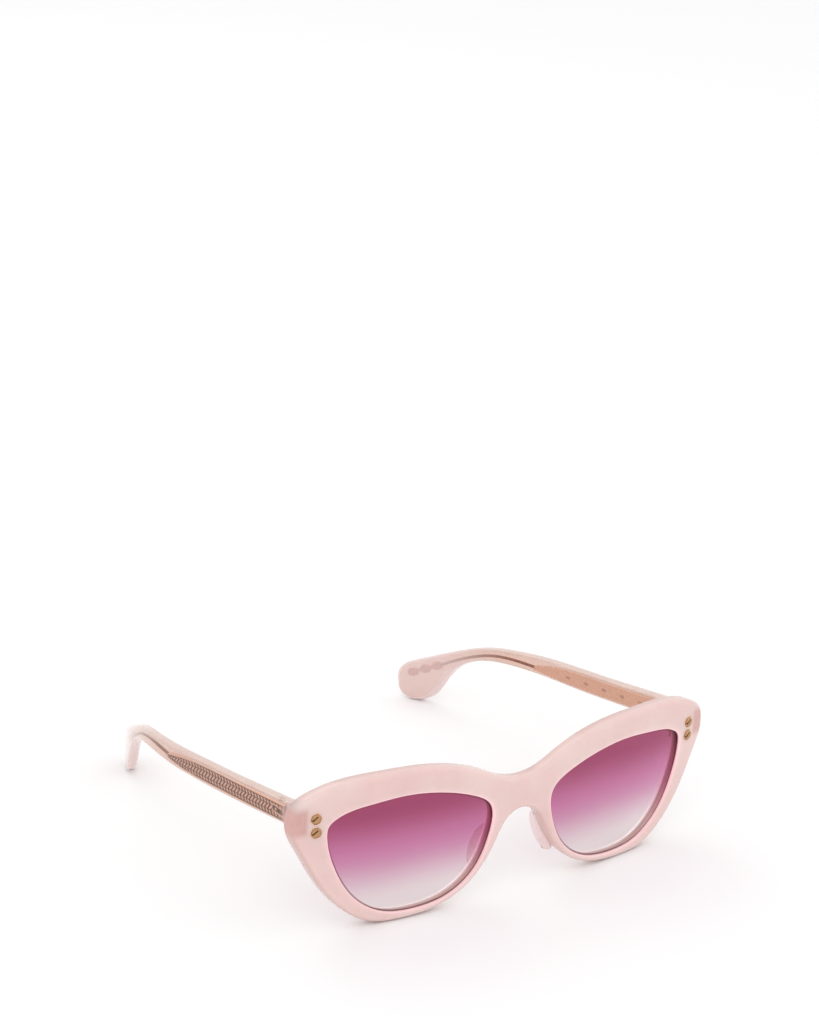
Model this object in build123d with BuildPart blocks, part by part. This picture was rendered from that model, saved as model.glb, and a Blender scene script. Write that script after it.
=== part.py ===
"""Cat eye sunglasses: an acetate front with two tinted lenses and two acetate temples on metal cores.

Millimetres. +Z is up from the table that the rim bottoms and the temple tips rest on, the front faces -Y,
the temples run back along +Y, and +X is the wearer's left.
"""
import os
from math import cos, radians, sin

from build123d import *

os.makedirs("parts", exist_ok=True)

# ---------------------------------------------------------------- driving dimensions
front_y = -62.0            # face of the bridge
front_tilt = -2.1          # degrees the top of the front leans forward on the table
front_lift = 0.25          # lifts the tilted front so that its lowest edge is on the table
front_thickness = 4.2
wrap_radius = 340.0        # the front is part of a cylinder of this radius

lens_radius = 200.0        # outer sphere of the lens
lens_thickness = 1.8
lens_setback = 0.2         # middle of the lens behind the face
lens_bevel = 0.8           # depth of the lens in its groove
lens_middle = (36.0, 19.0)

lug_inner, lug_outer = 64.8, 69.2
lug_bottom, lug_top = 30.0, 37.4
lug_root = 9.6
butt_depth = 13.9          # back face of the lug behind the face of the bridge

hinge_x = 63.2             # hinge axis
hinge_depth = 14.6         # hinge axis behind the face of the bridge
knuckle_radius = 1.35
knuckle_height = 1.0
knuckle_gap = 0.06
hinge_bottom = 29.3
screw_radius = 0.6
screw_clearance = 0.05
screw_head_radius = 1.15
screw_head_height = 0.5
slot_width = 0.3
arm_reach = 2.2            # length of the knuckle arms along the temple
arm_start = 0.4            # how far behind the hinge axis the arms start
leaf_sunk = 0.5            # depth of the temple leaf in the acetate

plate_thickness = 1.4      # plate on the front
plate_inner, plate_outer = 61.7, 66.4
plate_bottom, plate_top = 27.9, 35.9
plate_back = 12.2          # back face of the plate behind the face of the bridge
leaf_thickness = 0.9       # plate on the temple
leaf_start, leaf_end = 14.9, 22.0
leaf_bottom, leaf_top = 30.3, 34.4
rivet_places = ((64.2, 33.7), (64.1, 29.8))
rivet_head_radius = 1.6
rivet_head_height = 0.7
rivet_shank_radius = 0.6
rivet_length = 4.85
rivet_facets = 8
rivet_head_taper = 25.0

temple_inner = 65.4        # inner face of the temple at the butt
temple_thickness = 3.6
temple_start = 10.0
temple_straight_end = 65.0
temple_end = 126.3         # past the tip
temple_converge = 0.02     # how far the straight stretch leans in per millimetre of depth
tip_inset = 46.0           # inner face of the tip from the middle plane

core_thickness = 1.6
core_wire = 1.0
tail_thickness = 1.6

pad_thickness = 3.2
pad_half_height = 7.0
pad_reach = 4.6            # how far the pad stands behind its root
pad_across, pad_height = 10.4, 14.0
pad_sunk = 0.4             # how far the pad's middle plane starts inside the front
pad_splay = 20.0           # degrees the pads lean apart towards the bottom
pad_flare = 4.0            # degrees the pads open towards the face of the wearer
pad_round = 1.1

# Reach of sketches and cuts past the part, so that they go right through it.
cut_start, cut_length = 10.0, 50.0
cross_start, cross_length = 80.0, 60.0
slab_width, slab_middle, slab_height = 160.0, 60.0, 70.0
band_below = 5.0

# Outlines on the plane of the front: across from the middle, up from the lowest point of the rim.
opening_outline = [
    (60.7, 27.4), (60.3, 30.8), (58.2, 32.6), (48.2, 35.0), (37.8, 35.7), (26.9, 34.5), (17.0, 31.6),
    (10.6, 27.2), (10.9, 18.9), (16.0, 9.2), (23.8, 4.0), (33.7, 2.3), (43.6, 3.4), (52.4, 9.0),
    (58.6, 19.2),
]
front_top = [
    (0.0, 33.6), (6.0, 34.5), (13.0, 37.6), (22.0, 40.8), (32.0, 42.5), (43.0, 42.9), (55.0, 42.5),
    (65.0, 40.0), (70.3, 36.0), (70.9, 32.0),
]
front_bottom = [
    (70.9, 32.0), (67.9, 23.9), (62.6, 14.4), (55.4, 5.9), (47.0, 0.9), (38.0, 0.0), (28.0, 0.9),
    (19.0, 4.4), (12.0, 10.6), (7.8, 17.6), (4.6, 22.4), (0.0, 24.2),
]

# Outlines of the temple from the side: depth behind the face of the bridge, height above the table.
temple_top = [
    (14.05, 36.8), (29.0, 34.5), (45.0, 32.1), (60.0, 30.1), (75.0, 28.0), (88.0, 25.8), (97.0, 23.8),
    (107.0, 19.6), (116.0, 15.0), (120.6, 12.6),
]
temple_back = [(120.6, 12.6), (123.1, 9.8), (123.4, 5.2), (122.1, 1.5), (118.8, 0.0)]
temple_bottom = [
    (118.8, 0.0), (114.3, 1.6), (111.3, 5.4), (108.7, 10.4), (103.7, 16.0), (96.0, 19.8), (86.0, 21.6),
    (72.0, 22.9), (55.0, 24.5), (38.0, 26.6), (14.05, 30.1),
]
plate_top_line = [(17.0, 34.3), (43.0, 30.9), (60.0, 28.6), (70.0, 26.5), (77.0, 24.5)]
plate_bottom_line = [(77.0, 23.2), (66.0, 23.7), (50.0, 25.4), (38.0, 26.9), (17.0, 29.7)]
wire_line = [(76.0, 23.9), (86.0, 23.2), (92.0, 22.4), (100.0, 19.9), (106.0, 16.9), (111.0, 13.9)]
bead_places = ((112.6, 13.0), (116.3, 10.8), (119.9, 8.9))
bead_radius = 1.35

# ---------------------------------------------------------------- planes and shared shapes
up = Vector(0, -sin(radians(front_tilt)), cos(radians(front_tilt)))
face_plane = Plane(origin=(0, front_y, front_lift), x_dir=(1, 0, 0),
                   z_dir=(0, -cos(radians(front_tilt)), -sin(radians(front_tilt))))
plan_plane = Plane(origin=(0, front_y, front_lift), x_dir=(1, 0, 0), z_dir=up)
sides = (("left", 1), ("right", -1))
leaf_x = temple_inner + leaf_sunk - leaf_thickness / 2
plate_size = (plate_outer - plate_inner, plate_thickness, plate_top - plate_bottom)


def wrap_depth(across):
    """How far the face has curved back at a distance from the middle plane."""
    return wrap_radius - (wrap_radius**2 - across**2) ** 0.5


def face_point(across, height, depth=0.0):
    """A point of the front: across, up the front, and behind its curved face."""
    return face_plane.from_local_coords(Vector(across, height, -wrap_depth(across) - depth))


def write(piece, name):
    """Label a finished piece and write it to its own file."""
    piece.part.label = name
    export_step(piece.part, f"parts/{name}.step")


def lens_point(side, across, height):
    """A point of the opening pushed out into the groove, which is the edge of the lens."""
    from_middle = Vector(across - lens_middle[0], height - lens_middle[1])
    edge = Vector(across, height) + from_middle.normalized() * lens_bevel
    return (side * edge.X, edge.Y)


def plate_centre(side):
    """Middle of the hinge plate let into the back of the front."""
    return (side * (plate_inner + plate_outer) / 2, front_y + plate_back - plate_thickness / 2,
            (plate_bottom + plate_top) / 2)


def leaf_centre(side):
    """Middle of the hinge leaf let into the inner face of a temple."""
    return (side * leaf_x, front_y + (leaf_start + leaf_end) / 2, (leaf_bottom + leaf_top) / 2)


def rivet_plane(side, across, height):
    """Where a rivet enters the face, square to it."""
    normal = Vector(side * across / wrap_radius, 0, 0) + face_plane.z_dir
    return Plane(origin=face_point(side * across, height), x_dir=(0, 0, 1), z_dir=normal.normalized())


def knuckle_bottom(level):
    """Height of the lower face of a hinge knuckle."""
    return hinge_bottom + level * (knuckle_height + knuckle_gap)


with BuildPart() as wrap_slab:
    with BuildSketch(plan_plane.offset(-cut_start)):
        with Locations((0, wrap_radius)):
            Circle(wrap_radius)
            Circle(wrap_radius - front_thickness, mode=Mode.SUBTRACT)
        with Locations((0, slab_middle)):
            Rectangle(slab_width, slab_width, mode=Mode.INTERSECT)
    extrude(amount=slab_height)

with BuildPart() as wrap_slab_back:
    with BuildSketch(plan_plane.offset(-cut_start)):
        with Locations((0, wrap_radius)):
            Circle(wrap_radius - front_thickness)
        with Locations((0, slab_middle)):
            Rectangle(slab_width, slab_width, mode=Mode.INTERSECT)
    extrude(amount=slab_height)

lens_blanks = {}
for side_name, side in sides:
    middle = face_point(side * lens_middle[0], lens_middle[1], lens_setback)
    ahead = (face_plane.z_dir + Vector(-side * lens_middle[0] / wrap_radius, 0, 0) * -1).normalized()
    centre = middle - ahead * lens_radius
    with BuildPart() as blank:
        with BuildSketch(face_plane.offset(cut_start)):
            with BuildLine():
                Spline(*[lens_point(side, *place) for place in opening_outline], periodic=True)
            make_face()
        extrude(amount=-cut_length)
        with Locations(centre):
            Sphere(lens_radius, mode=Mode.INTERSECT)
            Sphere(lens_radius - lens_thickness, mode=Mode.SUBTRACT)
    lens_blanks[side_name] = blank

# ---------------------------------------------------------------- front
with BuildPart() as front:
    with BuildSketch(face_plane.offset(cut_start)):
        with BuildLine():
            half_top = Spline(*front_top, tangents=[(1, 0), (0, -1)])
            half_bottom = Spline(*front_bottom, tangents=[(0, -1), (-1, 0)])
            mirror(half_top, about=Plane.YZ)
            mirror(half_bottom, about=Plane.YZ)
        make_face()
    extrude(amount=-cut_length)
    add(wrap_slab.part, mode=Mode.INTERSECT)
    lug_depth = butt_depth - lug_root
    with Locations(((lug_inner + lug_outer) / 2, front_y + butt_depth, (lug_bottom + lug_top) / 2),
                   (-(lug_inner + lug_outer) / 2, front_y + butt_depth, (lug_bottom + lug_top) / 2)):
        Box(lug_outer - lug_inner, lug_depth, lug_top - lug_bottom,
            align=(Align.CENTER, Align.MAX, Align.CENTER))
    with BuildSketch(face_plane.offset(cut_start)):
        with BuildLine():
            Spline(*opening_outline, periodic=True)
        make_face()
        mirror(about=Plane.YZ)
    extrude(amount=-cut_length, mode=Mode.SUBTRACT)
    for blank in lens_blanks.values():
        add(blank.part, mode=Mode.SUBTRACT)
    for _, side in sides:
        with Locations(plate_centre(side)):
            Box(*plate_size, mode=Mode.SUBTRACT)
        for across, height in rivet_places:
            with BuildSketch(rivet_plane(side, across, height)):
                Circle(rivet_shank_radius)
            extrude(amount=-rivet_length, mode=Mode.SUBTRACT)
write(front, "front")

for side_name, side in sides:
    write(lens_blanks[side_name], f"lens_{side_name}")

# ---------------------------------------------------------------- nose pads
for side_name, side in sides:
    root = face_point(side * pad_across, pad_height, front_thickness - pad_sunk)
    along = Vector(-side * sin(radians(pad_splay)), 0, cos(radians(pad_splay)))
    outward = Vector(side * cos(radians(pad_flare)), -sin(radians(pad_flare)), 0)
    with BuildPart() as pad:
        with BuildSketch(Plane(origin=root, x_dir=along, z_dir=outward).offset(-pad_thickness / 2)):
            Ellipse(pad_half_height, pad_reach)
        extrude(amount=pad_thickness)
        fillet(pad.edges(), radius=pad_round)
        add(wrap_slab_back.part, mode=Mode.INTERSECT)
        for blank in lens_blanks.values():
            add(blank.part, mode=Mode.SUBTRACT)
    write(pad, f"nose_pad_{side_name}")

# ---------------------------------------------------------------- hinges
for side_name, side in sides:
    axis_x, axis_y = side * hinge_x, front_y + hinge_depth
    screw_top = knuckle_bottom(4) + knuckle_height

    with BuildPart() as front_hinge:
        with Locations(plate_centre(side)):
            Box(*plate_size)
        for level in (0, 2, 4):
            with BuildSketch(Plane.XY.offset(knuckle_bottom(level))):
                with Locations((axis_x, axis_y)):
                    Circle(knuckle_radius)
                with Locations((axis_x, (axis_y + front_y + plate_back) / 2)):
                    Rectangle(2 * knuckle_radius, axis_y - front_y - plate_back)
                with Locations((axis_x, axis_y)):
                    Circle(screw_radius, mode=Mode.SUBTRACT)
            extrude(amount=knuckle_height)
        for across, height in rivet_places:
            with BuildSketch(rivet_plane(side, across, height)):
                Circle(rivet_shank_radius)
            extrude(amount=-rivet_length, mode=Mode.SUBTRACT)
    write(front_hinge, f"front_hinge_{side_name}")

    with BuildPart() as temple_hinge:
        with Locations(leaf_centre(side)):
            Box(leaf_thickness, leaf_end - leaf_start, leaf_top - leaf_bottom)
        for level in (1, 3):
            with BuildSketch(Plane.XY.offset(knuckle_bottom(level))):
                with Locations((axis_x, axis_y)):
                    Circle(knuckle_radius)
                with Locations((side * (hinge_x + leaf_x) / 2, axis_y + arm_reach / 2 + arm_start)):
                    Rectangle(leaf_x - hinge_x, arm_reach)
                with Locations((axis_x, axis_y)):
                    Circle(screw_radius + screw_clearance, mode=Mode.SUBTRACT)
            extrude(amount=knuckle_height)
    write(temple_hinge, f"temple_hinge_{side_name}")

    with BuildPart() as screw:
        with BuildSketch(Plane.XY.offset(hinge_bottom)):
            with Locations((axis_x, axis_y)):
                Circle(screw_radius)
        extrude(amount=screw_top - hinge_bottom)
        with BuildSketch(Plane.XY.offset(screw_top)):
            with Locations((axis_x, axis_y)):
                Circle(screw_head_radius)
        extrude(amount=screw_head_height)
        with Locations((axis_x, axis_y, screw_top + screw_head_height)):
            Box(2 * screw_head_radius, slot_width, slot_width, mode=Mode.SUBTRACT)
    write(screw, f"hinge_screw_{side_name}")

    for rivet_name, (across, height) in zip(("upper", "lower"), rivet_places):
        seat = rivet_plane(side, across, height)
        with BuildPart() as rivet:
            with BuildSketch(seat):
                RegularPolygon(rivet_head_radius, rivet_facets)
            extrude(amount=rivet_head_height, taper=rivet_head_taper)
            with BuildSketch(seat):
                Circle(rivet_shank_radius)
            extrude(amount=-rivet_length)
        write(rivet, f"rivet_{rivet_name}_{side_name}")

# ---------------------------------------------------------------- temples
def plan_band(side, near, far):
    """The plan of a temple between two distances outside its inner face."""
    start, bend, tip = temple_start, temple_straight_end, temple_end
    lean = temple_converge * (bend - start)

    def track(out):
        inner = temple_inner + out
        first = Line((side * inner, front_y + start), (side * (inner - lean), front_y + bend))
        return first, TangentArc(first @ 1, (side * (tip_inset + out), front_y + tip), tangent=first % 1)

    with BuildPart(mode=Mode.PRIVATE) as band:
        with BuildSketch(Plane.XY.offset(-band_below)):
            with BuildLine():
                near_line, near_arc = track(near)
                far_line, far_arc = track(far)
                Line(near_line @ 0, far_line @ 0)
                Line(near_arc @ 1, far_arc @ 1)
            make_face()
        extrude(amount=slab_height)
    return band.part


for side_name, side in sides:
    side_plane = Plane(origin=(side * cross_start, front_y, 0), x_dir=(0, 1, 0), z_dir=(1, 0, 0))
    middle = temple_thickness / 2

    with BuildPart() as core:
        with BuildSketch(side_plane):
            with BuildLine():
                Spline(*plate_top_line)
                Line(plate_top_line[-1], plate_bottom_line[0])
                Spline(*plate_bottom_line)
                Line(plate_bottom_line[-1], plate_top_line[0])
            make_face()
        extrude(amount=-side * cross_length)
        with BuildSketch(side_plane):
            with BuildLine():
                Spline(*wire_line)
            trace(line_width=core_wire)
        extrude(amount=-side * cross_length)
        add(plan_band(side, middle - core_thickness / 2, middle + core_thickness / 2), mode=Mode.INTERSECT)
    write(core, f"core_{side_name}")

    with BuildPart() as tail:
        with BuildSketch(side_plane):
            for place in bead_places:
                with Locations(place):
                    Circle(bead_radius)
            with BuildLine():
                Polyline(*bead_places)
            trace(line_width=core_wire)
        extrude(amount=-side * cross_length)
        add(plan_band(side, middle - tail_thickness / 2, middle + tail_thickness / 2), mode=Mode.INTERSECT)
        add(core.part, mode=Mode.SUBTRACT)
    write(tail, f"core_tail_{side_name}")

    with BuildPart() as temple:
        with BuildSketch(side_plane):
            with BuildLine():
                Spline(*temple_top)
                Spline(*temple_back)
                Spline(*temple_bottom)
                Line(temple_bottom[-1], temple_top[0])
            make_face()
        extrude(amount=-side * cross_length)
        add(plan_band(side, 0, temple_thickness), mode=Mode.INTERSECT)
        add(core.part, mode=Mode.SUBTRACT)
        add(tail.part, mode=Mode.SUBTRACT)
        with Locations(leaf_centre(side)):
            Box(leaf_thickness, leaf_end - leaf_start, leaf_top - leaf_bottom, mode=Mode.SUBTRACT)
    write(temple, f"temple_{side_name}")
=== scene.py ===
"""Cat eye sunglasses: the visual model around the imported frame, laid out as an add-on."""

from math import cos, pi, radians, sin, sqrt

import bmesh
import bpy
import numpy as np
from mathutils import Matrix, Vector
from mathutils.geometry import delaunay_2d_cdt


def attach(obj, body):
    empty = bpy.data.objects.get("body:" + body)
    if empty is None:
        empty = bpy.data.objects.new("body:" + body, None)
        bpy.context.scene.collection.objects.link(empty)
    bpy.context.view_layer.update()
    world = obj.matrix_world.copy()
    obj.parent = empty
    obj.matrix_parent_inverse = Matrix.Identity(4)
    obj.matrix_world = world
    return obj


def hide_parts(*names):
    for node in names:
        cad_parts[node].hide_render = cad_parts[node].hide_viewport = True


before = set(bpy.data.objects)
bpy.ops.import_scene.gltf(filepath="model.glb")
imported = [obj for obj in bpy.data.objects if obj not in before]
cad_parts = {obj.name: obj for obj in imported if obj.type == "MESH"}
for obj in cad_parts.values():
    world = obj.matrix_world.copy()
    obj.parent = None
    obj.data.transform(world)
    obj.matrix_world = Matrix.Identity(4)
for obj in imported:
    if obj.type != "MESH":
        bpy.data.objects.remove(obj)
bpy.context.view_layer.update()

bl_info = {
    "name": "Cat eye sunglasses",
    "version": (1, 0, 0),
    "blender": (4, 5, 0),
    "location": "View3D > Sidebar > Sunglasses",
    "description": "Builds the acetate, lenses, metal and studio of a pair of cat eye sunglasses",
    "category": "Add Mesh",
}

MM = 0.001
SIDES = (("left", 1), ("right", -1))
FRONT_BODY = "front_body"
WHITE = (1.0, 1.0, 1.0, 1.0)
BLACK = (0.0, 0.0, 0.0, 1.0)

# ------------------------------------------------------------------ the part's own sizes, in millimetres
FACE_DEPTH = -62.0
FACE_TILT = radians(-2.1)
FACE_LIFT = 0.25
FRONT_THICKNESS = 4.2
WRAP_RADIUS = 340.0
GROOVE = {"deep": 0.85, "near": 0.8, "far": 3.0}
LENS_MIDDLE = (36.0, 19.0)
LENS_SETBACK = 0.2
LUG = {"inner": 64.8, "outer": 69.2, "bottom": 30.0, "top": 37.4, "root": 9.6, "end": 13.9}
TEMPLE_INNER = 65.4
TEMPLE_THICKNESS = 3.6
TEMPLE_CONVERGE = 0.02
TEMPLE_START = 10.0
TEMPLE_STRAIGHT_END = 65.0
TEMPLE_TIP = 126.3
TIP_INSET = 46.0
CORE_THICKNESS = 1.6
WIRE_RADIUS = 0.45
BEAD_RADIUS = 1.34
RIVETS = {"upper": (64.2, 33.7), "lower": (64.1, 29.8)}
HINGE_SHADOW = (69.2, 33.0)
ROD_SIDES = 28

# Outlines on the plane of the front: across from the middle, up from the lowest point of the rim.
OPENING = [
    (60.7, 27.4), (60.3, 30.8), (58.2, 32.6), (48.2, 35.0), (37.8, 35.7), (26.9, 34.5),
    (17.0, 31.6), (10.6, 27.2), (10.9, 18.9), (16.0, 9.2), (23.8, 4.0), (33.7, 2.3),
    (43.6, 3.4), (52.4, 9.0), (58.6, 19.2),
]
FRONT_TOP = [
    (0.0, 33.6), (6.0, 34.5), (13.0, 37.6), (22.0, 40.8), (32.0, 42.5), (43.0, 42.9), (55.0, 42.5),
    (65.0, 40.0), (70.3, 36.0), (70.9, 32.0),
]
FRONT_BOTTOM = [
    (70.9, 32.0), (67.9, 23.9), (62.6, 14.4), (55.4, 5.9), (47.0, 0.9), (38.0, 0.0), (28.0, 0.9),
    (19.0, 4.4), (12.0, 10.6), (7.8, 17.6), (4.6, 22.4), (0.0, 24.2),
]

# Outlines of the temple from the side: depth behind the face of the bridge, height above the table.
TEMPLE_TOP = [
    (14.05, 36.8), (29.0, 34.5), (45.0, 32.1), (60.0, 30.1), (75.0, 28.0), (88.0, 25.8), (97.0, 23.8),
    (107.0, 19.6), (116.0, 15.0), (120.6, 12.6),
]
TEMPLE_BACK = [(120.6, 12.6), (123.1, 9.8), (123.4, 5.2), (122.1, 1.5), (118.8, 0.0)]
TEMPLE_BOTTOM = [
    (118.8, 0.0), (114.3, 1.6), (111.3, 5.4), (108.7, 10.4), (103.7, 16.0), (96.0, 19.8), (86.0, 21.6),
    (72.0, 22.9), (55.0, 24.5), (38.0, 26.6), (14.05, 30.1),
]
PLATE_TOP = [(17.0, 34.3), (43.0, 30.9), (60.0, 28.6), (70.0, 26.5), (77.0, 24.5)]
PLATE_BOTTOM = [(77.0, 23.2), (66.0, 23.7), (50.0, 25.4), (38.0, 26.9), (17.0, 29.7)]
WIRE = [(76.0, 23.9), (86.0, 23.2), (92.0, 22.4), (100.0, 19.9), (106.0, 16.9), (111.0, 13.9)]
BEADS = [(112.6, 13.0), (116.3, 10.8), (119.9, 8.9)]


# ------------------------------------------------------------------ curves
def spline(points, count, closed=False, start=None, end=None):
    """Points along the interpolating cubic spline, with end tangents or free ends."""
    knots = np.array(points, float)
    if closed:
        knots = np.vstack([knots, knots[:1]])
    at = np.concatenate([[0], np.cumsum(np.linalg.norm(np.diff(knots, axis=0), axis=1))])
    gap = np.diff(at)
    slope = np.diff(knots, axis=0) / gap[:, None]
    size = len(knots)
    matrix = np.zeros((size, size))
    right = np.zeros_like(knots)
    for i in range(1, size - 1):
        matrix[i, i - 1 : i + 2] = gap[i], 2 * (gap[i - 1] + gap[i]), gap[i - 1]
        right[i] = 3 * (gap[i] * slope[i - 1] + gap[i - 1] * slope[i])
    if closed:
        matrix[0, 0], matrix[0, -1] = 1, -1
        matrix[-1, 0], matrix[-1, 1] = 2 * gap[-1], gap[-1]
        matrix[-1, -1], matrix[-1, -2] = 2 * gap[0], gap[0]
        right[-1] = 3 * (gap[-1] * slope[0] + gap[0] * slope[-1])
    else:
        for row, near, tangent, step in ((0, 1, start, 0), (-1, -2, end, -1)):
            if tangent is None:
                matrix[row, row], matrix[row, near] = 2, 1
                right[row] = 3 * slope[step]
            else:
                matrix[row, row] = 1
                right[row] = tangent
    rate = np.linalg.solve(matrix, right)
    where = np.linspace(0, at[-1], count, endpoint=not closed)
    i = np.clip(np.searchsorted(at, where, side="right") - 1, 0, len(gap) - 1)
    t = ((where - at[i]) / gap[i])[:, None]
    h = gap[i][:, None]
    return (
        (2 * t**3 - 3 * t**2 + 1) * knots[i]
        + (t**3 - 2 * t**2 + t) * h * rate[i]
        + (3 * t**2 - 2 * t**3) * knots[i + 1]
        + (t**3 - t**2) * h * rate[i + 1]
    )


def even(loop, count):
    """The same closed loop, with its points evenly spaced."""
    ring = np.vstack([loop, loop[:1]])
    at = np.concatenate([[0], np.cumsum(np.linalg.norm(np.diff(ring, axis=0), axis=1))])
    where = np.linspace(0, at[-1], count, endpoint=False)
    return np.stack([np.interp(where, at, ring[:, k]) for k in range(2)], -1)


def outward(loop):
    """Unit normals that point out of an anticlockwise closed loop."""
    ahead = np.roll(loop, -1, axis=0) - np.roll(loop, 1, axis=0)
    ahead /= np.linalg.norm(ahead, axis=1)[:, None]
    return np.stack([ahead[:, 1], -ahead[:, 0]], -1)


def anticlockwise(loop):
    """The loop in the direction that leaves its inside on the left."""
    x, y = loop[:, 0], loop[:, 1]
    area = np.sum(x * np.roll(y, -1) - y * np.roll(x, -1))
    return loop if area > 0 else loop[::-1]


def inside(points, loop):
    """Which points lie inside a closed loop."""
    x, y = points[:, 0][:, None], points[:, 1][:, None]
    ax, ay = loop[:, 0][None], loop[:, 1][None]
    bx, by = np.roll(loop[:, 0], -1)[None], np.roll(loop[:, 1], -1)[None]
    crosses = (ay > y) != (by > y)
    at = ax + (y - ay) * (bx - ax) / np.where(by == ay, 1e-12, by - ay)
    return (np.sum(crosses & (x < at), axis=1) % 2) == 1


def nearest(points, loop):
    """Distance from each point to the nearest point of a loop."""
    return np.sqrt(((points[:, None] - loop[None]) ** 2).sum(2)).min(1)


def fill(loops, spacing):
    """Even triangles over the first loop without the others: the points and the triangles."""
    outer = loops[0]
    low, high = outer.min(0), outer.max(0)
    rows = np.arange(low[1], high[1], spacing * 0.866)
    grid = np.array([
        (x, y)
        for k, y in enumerate(rows)
        for x in np.arange(low[0] + (k % 2) * spacing / 2, high[0], spacing)
    ])
    keep = inside(grid, outer) & (nearest(grid, outer) > spacing * 0.6)
    for hole in loops[1:]:
        keep &= ~inside(grid, hole) & (nearest(grid, hole) > spacing * 0.6)
    points, edges, start = [], [], 0
    for loop in loops:
        count = len(loop)
        points += [Vector(p) for p in loop]
        edges += [(start + k, start + (k + 1) % count) for k in range(count)]
        start += count
    points += [Vector(p) for p in grid[keep]]
    out, _, faces, _, _, _ = delaunay_2d_cdt(points, edges, [], 0, 1e-7)
    out = np.array([tuple(p) for p in out])
    middles = np.array([out[list(f)].mean(0) for f in faces])
    good = inside(middles, outer)
    for hole in loops[1:]:
        good &= ~inside(middles, hole)
    return out, [tuple(f) for f, ok in zip(faces, good) if ok]


# ------------------------------------------------------------------ places on the part
UP = Vector((0, -sin(FACE_TILT), cos(FACE_TILT)))
BACK = Vector((0, cos(FACE_TILT), sin(FACE_TILT)))
ORIGIN = Vector((0, FACE_DEPTH, FACE_LIFT))


def front_place(across, height, depth):
    """A point of the curved front, in metres."""
    behind = WRAP_RADIUS - sqrt((WRAP_RADIUS - depth) ** 2 - across**2)
    return (ORIGIN + Vector((across, 0, 0)) + UP * height + BACK * behind) * MM


def temple_inner_face(depth):
    """How far out the inner face of a temple is at a depth behind the bridge."""
    bend_x = TEMPLE_INNER - TEMPLE_CONVERGE * (TEMPLE_STRAIGHT_END - TEMPLE_START)
    if depth < TEMPLE_STRAIGHT_END:
        return TEMPLE_INNER - TEMPLE_CONVERGE * (depth - TEMPLE_START)
    ahead = Vector((-TEMPLE_CONVERGE, 1)).normalized()
    across = Vector((-ahead.y, ahead.x))
    chord = Vector((TIP_INSET - bend_x, TEMPLE_TIP - TEMPLE_STRAIGHT_END))
    radius = chord.length_squared / (2 * chord.dot(across))
    centre = Vector((bend_x, TEMPLE_STRAIGHT_END)) + across * radius
    return centre.x + sqrt(max(radius**2 - (depth - centre.y) ** 2, 0))


def temple_place(side, out):
    """A function from depth and height to a point at a distance outside the temple's inner face."""
    def place(depth, height, inward=0.0):
        x = temple_inner_face(depth) + out - inward
        return Vector((side * x, FACE_DEPTH + depth, height)) * MM
    return place


# ------------------------------------------------------------------ meshes
def piece(name, points, faces, material, body, smooth=True):
    """A mesh object with a material that rides on a body of the frame."""
    mesh = bpy.data.meshes.new(name)
    mesh.from_pydata([tuple(p) for p in points], [], [tuple(int(i) for i in f) for f in faces])
    clean = bmesh.new()
    clean.from_mesh(mesh)
    bmesh.ops.remove_doubles(clean, verts=clean.verts, dist=2e-6)
    bmesh.ops.recalc_face_normals(clean, faces=clean.faces)
    for face in clean.faces:
        face.smooth = smooth
    clean.to_mesh(mesh)
    clean.free()
    made = bpy.data.objects.new(name, mesh)
    bpy.context.collection.objects.link(made)
    mesh.materials.append(material)
    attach(made, body)
    return made


def rounding(radius, steps, back=False, thickness=0.0):
    """Inset and depth of each ring over a quarter-round edge, from the face to the wall."""
    rings = [
        (radius * (1 - sin(k * pi / 2 / steps)), radius * (1 - cos(k * pi / 2 / steps)))
        for k in range(steps + 1)
    ]
    return [(inset, thickness - depth) for inset, depth in reversed(rings)] if back else rings


def bands(start, count, rings):
    """Quads between closed rings of points that follow each other."""
    return [
        (base + i, base + (i + 1) % count, base + count + (i + 1) % count, base + count + i)
        for base in range(start, start + (rings - 1) * count, count)
        for i in range(count)
    ]


def plate(loops, profiles, place, spacing):
    """A closed plate between two faces: every loop has its own edge profile of inset and depth."""
    points, faces = [], []
    inwards = [outward(loop) * (1 if k else -1) for k, loop in enumerate(loops)]
    for end in (0, -1):
        rims = [
            loop + inward * np.reshape(profile[end][0], (-1, 1))
            for loop, inward, profile in zip(loops, inwards, profiles)
        ]
        flat, triangles = fill(rims, spacing)
        start = len(points)
        points += [place(x, y, profiles[0][end][1]) for x, y in flat]
        faces += [tuple(start + i for i in f) for f in triangles]
    for loop, inward, profile in zip(loops, inwards, profiles):
        start = len(points)
        for inset, depth in profile:
            points += [place(x, y, depth) for x, y in loop + inward * np.reshape(inset, (-1, 1))]
        faces += bands(start, len(loop), len(profile))
    return points, faces


def mark(made, name, values):
    """A value for each point of a piece, for its material."""
    attribute = made.data.attributes.new(name, "FLOAT", "POINT")
    attribute.data.foreach_set("value", np.asarray(values, np.float32))


def flat_of(made):
    """For each point of a piece: across and up the plane of the front, and the depth behind its face."""
    spots = np.empty(len(made.data.vertices) * 3)
    made.data.vertices.foreach_get("co", spots)
    spots = spots.reshape(-1, 3) / MM - np.array(ORIGIN)
    across = spots[:, 0]
    depth = WRAP_RADIUS - np.hypot(WRAP_RADIUS - spots @ np.array(BACK), across)
    return np.stack([across, spots @ np.array(UP)], -1), depth


def key(spot, steps):
    """A point rounded to a fraction of a millimetre, by which it is found again in a mesh."""
    return tuple(round(c / MM * steps) for c in spot)


def mark_walls(made, points, loop, profile):
    """Marks a plate's rounded edges with 1 and its flat faces with 0."""
    flats = {key(p, 200) for p in points[:len(points) - len(loop) * len(profile)]}
    mark(made, "edge", [float(key(vertex.co, 200) not in flats) for vertex in made.data.vertices])


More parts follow.
